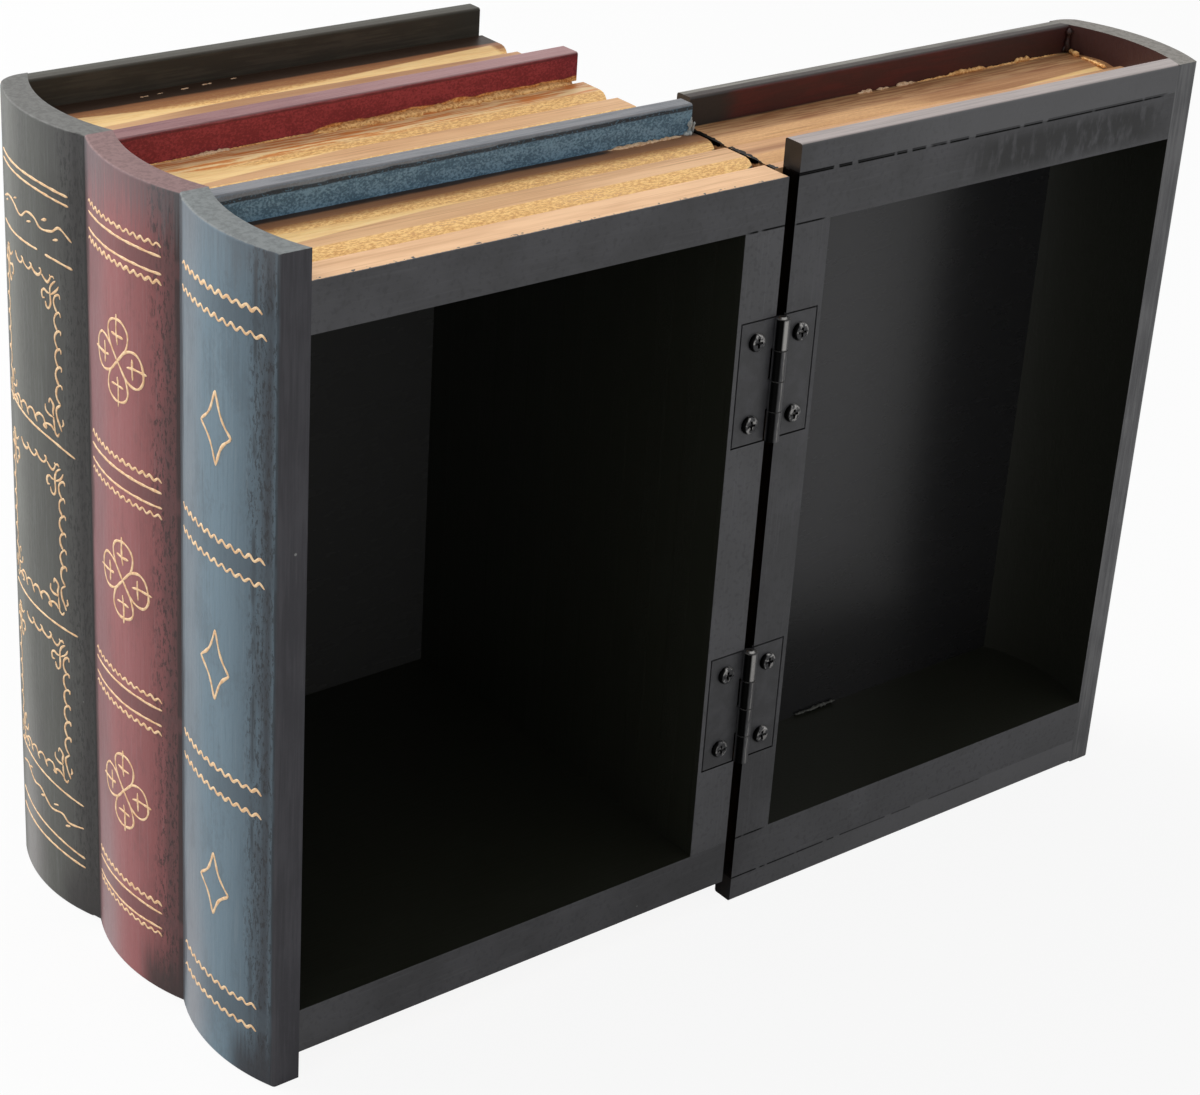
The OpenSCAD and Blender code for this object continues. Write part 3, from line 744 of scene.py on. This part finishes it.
# Corners of each diamond: top, front, bottom, back
BLUE_DIAMONDS = (
    ((-1.3, 206.2), (-8.2, 195.0), (-1.6, 185.2), (6.0, 195.6)),
    ((-1.4, 137.2), (-7.7, 125.9), (-1.1, 116.1), (6.3, 126.2)),
    ((-0.7, 67.0), (-7.6, 56.3), (-0.4, 46.8), (6.6, 56.5)),
)
# Red spine: heights of zigzag, line, line and zigzag of each band, and where they end at the front
RED_BANDS = (
    (233.9, 230.8, 226.0, 223.4, -19.0), (166.5, 162.9, 158.4, 155.6, -18.6),
    (98.3, 95.4, 90.4, 87.6, -17.9), (30.3, 27.2, 21.9, 19.8, -17.2),
)
# Middles of the knots
CLOVERS = ((-0.2, 195.4), (-1.2, 129.7), (0.0, 60.7))


def blue_ornament():
    """Pairs of zigzags, and three diamonds with sides that bow inwards."""
    lines = []
    for upper, lower, right in BLUE_ZIGZAGS:
        lines += [zigzag(upper, right + (1.6 if upper > 230 else 0), 20.3), zigzag(lower, right, 20.3)]
    for corners in BLUE_DIAMONDS:
        top, right, bottom, left = corners
        middle = ((top[0] + bottom[0]) / 2, (left[1] + right[1]) / 2)
        for a, b in zip(corners, corners[1:] + corners[:1]):
            half = ((a[0] + b[0]) / 2, (a[1] + b[1]) / 2)
            lines.append([a, tuple(h + (m - h) * 0.22 for h, m in zip(half, middle)), b])
    return lines


# Strokes of one petal, from the middle of the knot
PETAL = (
    ((0, 0), (4.6, 4.3), (9.3, 5.1), (11.8, 1.8), (11, -3), (8.2, -5), (4, -3.8), (0, 0)),
    ((4.8, 0.2), (8, -0.4), (13.3, -0.3)),
    ((7.4, 3.1), (7.1, 0), (7.2, -3)),
)


def red_ornament():
    """Zigzags and lines, and three knots of four looped petals."""
    lines = []
    for zig1, line1, line2, zig2, right in RED_BANDS:
        lines += [zigzag(zig1, right, 20.0, 2.9, 0.5), level(line1, right, 20.0, 0.2)]
        lines += [level(line2, right, 20.0, -0.2), zigzag(zig2, right, 20.0, 2.9, 0.5)]
    for cu, cz in CLOVERS:
        for a, b in ((1, 0), (0, 1), (-1, 0), (0, -1)):
            for stroke in PETAL:
                lines.append([(cu + a * du - b * dz, cz + a * dz + b * du) for du, dz in stroke])
    return lines


# The frame of the top panel of the green spine. The strokes at its front side are mirrored for the back
SIDE_LINK = ((-14.1, 0), (-13.9, 1.0), (-13.4, 1.2), (-12, 0.2), (-11.5, -1.4), (-11.8, -3), (-12.6, -4.2),
             (-13.2, -4.7))
SIDE_LINKS_FROM, SIDE_LINK_PITCH = 200.3, 5.45
GREEN_SIDE = (
    ((-13.4, 168.1), (-11.7, 166.8), (-11.4, 165.4), (-11.9, 163.6), (-12.6, 161.9), (-13.6, 160.1)),
    ((-14, 163.9), (-14.2, 162.5), (-13.7, 161.7)),
    ((-6.4, 205.4), (-7.4, 204.5), (-8.8, 203.8), (-9.8, 204.7), (-10.3, 205.9), (-9.9, 206.4)),
    ((-10.3, 205.9), (-11.6, 206.2), (-11.9, 205.7)),
    ((-12.5, 205.2), (-11, 204.1), (-10.2, 202.8), (-10, 201.4), (-10.1, 198.3), (-9.9, 196.9), (-9, 196),
     (-8.2, 196.6), (-7.8, 197.9)),
    ((-13.6, 203.9), (-13.1, 202.9), (-12, 201.7), (-10.3, 200.6)),
    ((-9.8, 200.9), (-8.7, 200.8), (-7.3, 201.3), (-6.2, 200.6), (-6.1, 199.4), (-6.5, 198.6), (-7.6, 198.8)),
    ((-10.2, 163.4), (-10.2, 162), (-10.4, 160.4), (-10.6, 158.9), (-11.7, 158.1), (-12.5, 159.2)),
    ((-6.4, 166.3), (-6.5, 164.6), (-8, 163.6), (-9.4, 163.5), (-10.2, 163.4)),
    ((-8.1, 167.3), (-8.5, 168.6), (-9.6, 168), (-10.2, 166.9), (-9.9, 165.2), (-10.2, 163.8)),
    ((-6.8, 158.7), (-5.3, 159.3), (-6.3, 160.2), (-7.8, 160.6), (-9.3, 160.2), (-10.1, 159.3)),
)
TOP_LINK = ((-0.8, 206.7), (-1.5, 205.6), (-2.8, 204.8), (-4.5, 204.6), (-6, 205.8), (-5.7, 206.7),
            (-5.1, 206.8))
FOOT_LINK = ((3.5, 159.3), (4.2, 160.4), (2.7, 161.8), (1.1, 162), (0, 161.5), (-0.8, 160.3), (-1.7, 159))
PANEL_PITCH, PANEL_MIDDLE = 57.1, 3.0
GREEN_RULES = (
    ((20.5, 233.1), (10.8, 232.5), (-5.6, 232.1), (-18, 231.0)),
    ((20.5, 230.7), (9.9, 230.2), (-5.5, 229.5), (-18.1, 228.3)),
    ((20.5, 212.3), (10.7, 211.8), (-4.6, 211.9)),
    ((-8.2, 211.6), (-13.5, 211.2), (-19.2, 210.4)),
    ((20.5, 159.6), (8.1, 158.2), (-8.1, 156.1), (-18.5, 153.3)),
    ((20.5, 98.6), (9.8, 98.0), (-4, 97.2), (-17.9, 96.0)),
    ((20.5, 43.6), (10.7, 42.5), (-5.9, 40.5), (-18.8, 38.3)),
    ((20.5, 25.6), (11.5, 24.6), (-5.1, 22.3), (-18.9, 19.8)),
    ((20.5, 19.8), (13.6, 19.3), (-4.9, 18.2), (-18.8, 16.6)),
    ((19.5, 219.6), (14.8, 221.4), (10.4, 221.0), (5.1, 218.9), (1, 221.2), (-3.2, 220.9), (-6.2, 218.8),
     (-11.2, 219.4), (-14.4, 221), (-19, 218.3)),
    ((19, 36.2), (13.5, 37.4), (8, 34.6), (2.7, 34.6), (-3.2, 31.1), (-9.1, 31.7), (-12.3, 29.8),
     (-18.6, 30.4)),
)
GREEN_DASHES = ((16.5, 219.4), (8.5, 222.7), (-0.3, 218.8), (-8.1, 221.8), (-12.9, 217.3),
                (10.5, 37.9), (1.8, 32.6), (-6.1, 33.4), (-11.7, 28.4))


def green_ornament():
    """Rules and waves, and three panels framed with hooked strokes and scrolled corners."""
    lines = [list(rule) for rule in GREEN_RULES]
    lines += [[(u - 1.1, z + 0.4), (u + 1.1, z - 0.3)] for u, z in GREEN_DASHES]
    for k in range(3):
        drop = PANEL_PITCH * k
        side = list(GREEN_SIDE)
        for i in range(6):
            side.append([(u, z + SIDE_LINKS_FROM - SIDE_LINK_PITCH * i) for u, z in SIDE_LINK])
        for stroke in side:
            lines.append([(u, z - drop) for u, z in stroke])
            lines.append([(2 * PANEL_MIDDLE - u, z - drop) for u, z in stroke])
        for link, shifts in ((TOP_LINK, (0, 5.2, 10.4)), (FOOT_LINK, (0, -5.2, 4.9, 9.8))):
            for shift in shifts:
                lines.append([(u + shift, z - drop) for u, z in link])
    return lines


# Door spine: heights of its bands and rosettes
DOOR_BANDS = (230.0, 163.0, 92.0, 24.0)
DOOR_ROSETTES = (196.5, 127.5, 58.0)


def door_ornament():
    """Bands of a zigzag between two lines, and three rosettes. This side isn't seen in the photo."""
    lines = []
    for z in DOOR_BANDS:
        lines += [level(z + 3.4, -20.5, 20.5), zigzag(z, -20.5, 20.5, 3.6, 0.55), level(z - 3.4, -20.5, 20.5)]
    for z in DOOR_ROSETTES:
        for k in range(8):
            leaf = ((1.4, 1.4, 0), (4.2, 4.6, 0.22), (6.6, 8.0, 0), (4.2, 4.6, -0.22), (1.4, 1.4, 0))
            turn = math.pi * k / 4
            lines.append([(ru * math.cos(turn + a), z + rz * math.sin(turn + a)) for ru, rz, a in leaf])
    return lines


# Floor, light and camera

AMBIENT, KEY_WATTS = 0.52, 30.5


def light_path_share(tree, keys, low, high):
    """A value that is high for the named rays and low for all others."""
    path = tree.nodes.new("ShaderNodeLightPath")
    seen = path.outputs[keys[0]]
    for key in keys[1:]:
        most = tree.nodes.new("ShaderNodeMath")
        most.operation = "MAXIMUM"
        tree.links.new(seen, most.inputs[0])
        tree.links.new(path.outputs[key], most.inputs[1])
        seen = most.outputs[0]
    share = tree.nodes.new("ShaderNodeMapRange")
    share.inputs[3].default_value, share.inputs[4].default_value = low, high
    tree.links.new(seen, share.inputs[0])
    return share.outputs[0]


def make_stage(half=6.0):
    """A pale floor that is white to the camera and keeps the shadow of the box."""
    mesh = bpy.data.meshes.new("floor")
    corners = [(-half, -half, 0), (half, -half, 0), (half, half, 0), (-half, half, 0)]
    mesh.from_pydata(corners, [], [(0, 1, 2, 3)])
    floor = add_object("floor", mesh)
    white = bpy.data.materials.new("floor_white")
    tree = empty_tree(white)
    out = tree.nodes.new("ShaderNodeOutputMaterial")
    diffuse = tree.nodes.new("ShaderNodeBsdfDiffuse")
    diffuse.inputs["Color"].default_value = (0.86, 0.86, 0.86, 1)
    glow = tree.nodes.new("ShaderNodeEmission")
    glow.inputs["Color"].default_value = (1, 1, 1, 1)
    glow.inputs["Strength"].default_value = 1.0
    mix = tree.nodes.new("ShaderNodeMixShader")
    tree.links.new(light_path_share(tree, ("Is Camera Ray",), 0.0, 0.9), mix.inputs[0])
    tree.links.new(diffuse.outputs[0], mix.inputs[1])
    tree.links.new(glow.outputs[0], mix.inputs[2])
    tree.links.new(mix.outputs[0], out.inputs[0])
    mesh.materials.append(white)


def make_world(ambient):
    """White where it is seen or mirrored, and a softer even light on all surfaces."""
    world = bpy.data.worlds.new("studio")
    bpy.context.scene.world = world
    tree = empty_tree(world)
    out = tree.nodes.new("ShaderNodeOutputWorld")
    back = tree.nodes.new("ShaderNodeBackground")
    back.inputs["Color"].default_value = (1, 1, 1, 1)
    keys = ("Is Camera Ray", "Is Glossy Ray", "Is Transmission Ray")
    tree.links.new(light_path_share(tree, keys, ambient, 1.0), back.inputs["Strength"])
    tree.links.new(back.outputs[0], out.inputs[0])


def add_lamp(name, place, aim, size, power):
    """A soft rectangular lamp, in metres and watts."""
    data = bpy.data.lights.new(name, "AREA")
    data.shape = "RECTANGLE"
    data.size, data.size_y = size
    data.energy = power
    lamp = add_object(name, data)
    lamp.location = place
    lamp.rotation_mode = "QUATERNION"
    lamp.rotation_quaternion = (Vector(aim) - Vector(place)).to_track_quat("-Z", "Y")


def make_camera():
    """The photo's camera, solved from the box's own edges."""
    data = bpy.data.cameras.new("photo_camera")
    cam = add_object("photo_camera", data)
    forward = Vector((0.577485, 0.684549, -0.444864)).normalized()
    right = Vector((0.782809, -0.618995, 0.063679)).normalized()
    up = right.cross(forward)
    place = Vector((-0.51106, -0.614614, 0.50339))
    turned = Matrix((right, up, -forward)).transposed().to_4x4()
    cam.matrix_world = Matrix.Translation(place) @ turned
    data.sensor_width = 36.0
    data.lens = 85.07
    data.shift_x, data.shift_y = -0.015, -0.02995
    data.clip_start, data.clip_end = 0.05, 50
    bpy.context.scene.camera = cam


# Putting it together

blue_bands = [(lower, upper) for upper, lower, right in BLUE_ZIGZAGS]
red_bands = [(line2, line1) for zig1, line1, line2, zig2, right in RED_BANDS]
blue_spine_m = spine_paint(
    "blue_spine_paint", BLUE,
    (srgb(86, 105, 117), srgb(104, 126, 139), srgb(116, 128, 137), srgb(38, 40, 46)),
    srgb(126, 131, 131), srgb(60, 76, 84), bands=blue_bands, corner_highlight=0.75, groove_share=0.75,
    edge=(srgb(50, 49, 54), srgb(64, 63, 68)))
red_spine_m = spine_paint(
    "red_spine_paint", RED,
    (srgb(136, 76, 76), srgb(154, 92, 93), srgb(137, 93, 96), srgb(54, 39, 38)),
    srgb(141, 111, 110), srgb(100, 48, 50), bands=red_bands, dry=0.6, joints=(0.72, 1.0))
green_spine_m = spine_paint(
    "green_spine_paint", GREEN,
    (srgb(73, 73, 70), srgb(84, 85, 80), srgb(105, 106, 100), srgb(50, 48, 47)),
    srgb(114, 114, 111), srgb(52, 48, 42), joints=(1.0, 0.0), corner_highlight=0.3, dry=0.12, turns_to=GREEN_OUTER)
door_spine_m = spine_paint(
    "door_spine_paint", DOOR,
    (srgb(70, 44, 42), srgb(78, 46, 43), srgb(72, 44, 42), srgb(30, 25, 25)),
    srgb(138, 134, 128), srgb(52, 21, 18), outside=1, bands=[(z - 3, z + 3) for z in DOOR_BANDS],
    joints=(1.0, 0.0), edge=(srgb(84, 84, 86), srgb(110, 110, 111)), turns_to=DOOR_OUTER)

case_pages_m = page_gold(
    "case_pages", 1, (srgb(248, 203, 158), srgb(228, 182, 134), srgb(200, 148, 100)),
    ((BLUE_FOOT_Y, 0, 9.8, 3.3, 0.75, 0.0, FOOT_SHADE_BROWN, ((-34, -3),)),
     (RED_FOOT_Y, RED_SKEW, 11.8, 1.0, 0.1, 0.9, srgb(226, 142, 72), ((-157, 0),)),
     (GREEN_FOOT_Y, 0, 15.5, 9.0, 0.85, 0.0, FOOT_SHADE_BROWN, ())),
    ((-158, 22.6, 31.9, -78, 29.0, 29.6), (-158, 69.6, 83.6, -98.7, 76.5), (-158, 121.6, 133.8, -93.9, 127.1),
     (-104, 126.7, 127.9, -5.2, 128.4, 135.0)),
    ((-128, 117, 126.2, 0, 119, 126.0),),
    ((CASE_RAIL_SEAM_Z, 13),))
door_pages_m = page_gold(
    "door_pages", -1, (srgb(230, 180, 134), srgb(232, 182, 134), srgb(192, 138, 92)),
    ((DOOR_FOOT_Y, 0, 12.0, 1.6, 0.5, 0.2, srgb(144, 84, 42), ((88, 152),)),),
    ((108, 28.8, 29.1, 157, 28.6, 31.6),),
    ((75, 31, 36, 185, 26, 38), (-4, 19, 23, 62, 20, 21)),
    ((PAGE_TOP - 0.25, 150),) + tuple((z, 12) for z in DOOR_RAIL_SEAMS_Z), grit_share=0.25,
    smudge=(72, 152, 228, 239))

blue_strip_m = strip_paint("blue_strip_paint", srgb(130, 168, 194), srgb(84, 117, 140), srgb(140, 141, 145),
                           srgb(112, 116, 122), (247.7, 248.9, 0.75, 0.85, 0.7))
red_strip_m = strip_paint("red_strip_paint", srgb(164, 66, 72), srgb(132, 48, 54), srgb(152, 112, 113),
                          srgb(128, 88, 92), (249.1, 249.2, 0.4, 0.5, 0.3), gold_climb=True, paler=0.3)
green_cover_m = cover_paint(
    "green_cover_paint", srgb(68, 66, 58), srgb(54, 53, 46), srgb(86, 85, 78), srgb(72, 69, 62),
    GREEN_FOOT_Y, BACK_WALL_BLACK, GREEN_OUTER, 2.4)
door_cover_m = cover_paint(
    "door_cover_paint", srgb(76, 12, 8), srgb(58, 9, 6), srgb(137, 134, 127), srgb(45, 35, 30),
    DOOR_FOOT_Y, srgb(30, 30, 31), DOOR_OUTER, 2.6, left_black=True)
door_strip_m = door_strip_paint()
hinge_m, screw_m, pin_m, gold_m = hinge_paint(), screw_paint(), steel(), gold_line()

# The first of these words in the name of a node tells its material
DRESS = (
    ("leaf", hinge_m), ("screws", screw_m), ("hinge_pin", pin_m), ("green_cover", green_cover_m),
    ("door_cover", door_cover_m), ("green_spine", green_spine_m), ("red_spine", red_spine_m),
    ("blue_spine", blue_spine_m), ("door_spine", door_spine_m), ("red_", red_strip_m),
    ("blue_", blue_strip_m), ("_strip", door_strip_m), ("case_", case_pages_m), ("door_", door_pages_m))
for name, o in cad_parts.items():
    o.data.materials.clear()
    o.data.materials.append(next(m for word, m in DRESS if word in name))

gild("blue_spine_gilding", Spine(BLUE), blue_ornament(), gold_m, "case", 11, 0.95)
gild("red_spine_gilding", Spine(RED), red_ornament(), gold_m, "case", 12, 0.85)
gild("green_spine_gilding", Spine(GREEN, back_round=BACK_ROUND), green_ornament(), gold_m, "case",
     13, 0.8)
gild("door_spine_gilding", Spine(DOOR, side=1, back_round=BACK_ROUND), door_ornament(), gold_m, "door",
     14, 0.95)

# Glue and paint that squeezed out at the feet of the boards
glue_m = blob_paint("dried_glue", srgb(150, 165, 170), srgb(196, 202, 200))
cream_m = blob_paint("cream_paint", srgb(205, 160, 120), srgb(244, 214, 178))
gold_bead_m = blob_paint("gold_bead", srgb(200, 138, 76), srgb(252, 204, 136), 0.2)
bead("blue_strip_glue", (
    ((-5.6, 41.1, 241.3), (-2.2, 41.2, 241.5), 1.1, 0.9),
    ((-3.6, 41.1, 241.6), (-3.0, 41.2, 246.2), 0.8, 0.5),
    ((-1.9, 41.3, 241.4), (-1.7, 41.3, 244.6), 0.5, 0.7)), glue_m, "case", 21)
bead("blue_strip_gold_foot", (((-33, 40.8, 241.2), (-6.5, 40.8, 241.2), 0.95, 0.6),), cream_m, "case",
     22)
bead("red_strip_gold_foot", (
    ((-154, 90.2, 241.2), (-100, 91.9, 241.25), 0.35, 0.8),
    ((-98, 91.5, 241.2), (-6, 94.1, 241.2), 2.3, 0.6)),
    gold_bead_m, "case", 23)
bead("red_strip_cream", (((-138, 90.5, 241.3), (-125, 90.9, 241.3), 0.9, 0.7),), cream_m, "case",
     24)
bead("green_board_flecks", (
    ((-124.5, 140.4, 241.1), (-121.5, 140.6, 241.1), 0.4, 0.6),
    ((-119, 140.8, 241.1), (-116.5, 141.0, 241.1), 0.35, 0.6),
    ((-111, 141.2, 241.1), (-107.5, 141.6, 241.1), 0.5, 0.6),
    ((-103.4, 142.0, 241.1), (-99.5, 142.3, 241.1), 0.5, 0.6),
    ((-93.2, 143.0, 241.1), (-90.5, 143.2, 241.1), 0.4, 0.6)), cream_m, "case", 25)
bead("door_cover_cream", (
    ((66, 45.5, 241.3), (72, 45.6, 241.4), 0.8, 0.8), ((74, 45.6, 241.3), (79, 45.5, 241.3), 0.7, 0.8),
    ((82, 45.5, 241.3), (90, 45.6, 241.3), 0.9, 0.8)), cream_m, "door", 26)
bead("door_cover_gold_foot", (
    ((91, 45.6, 241.2), (153, 45.5, 241.2), 0.5, 0.8), ((104, 45.5, 241.4), (120, 45.6, 241.5), 0.9, 1.0),
    ((133, 45.6, 241.5), (140, 45.6, 241.7), 0.8, 1.1), ((156.5, 28, 241.3), (156.6, 39, 241.4), 0.7, 0.9),
    ((156.6, 40, 241.6), (156.6, 44.5, 242.2), 1.0, 1.0)), gold_bead_m, "door", 27)
bead("door_corner_fillet", (
    ((156.4, 45.2, 241.2), (156.4, 45.3, 249.2), 1.2, 0.9),
    ((155.0, 45.7, 241.3), (156.2, 45.6, 243.5), 0.8, 0.8)),
    blob_paint("corner_glue", srgb(26, 16, 14), srgb(52, 28, 24)), "door", 29)
bead("door_inner_glue", (((67, 45.2, 24.6), (85, 45.3, 24.8), 0.9, 0.7),),
     blob_paint("glue_in_the_hollow", srgb(40, 41, 38), srgb(92, 93, 88)), "door", 28)

make_stage()
make_world(AMBIENT)
add_lamp("key", (-0.9, 1.3, 1.3), (0, 0, 0.1), (1.4, 1.4), KEY_WATTS)
make_camera()
bpy.context.scene.view_settings.view_transform = "Standard"
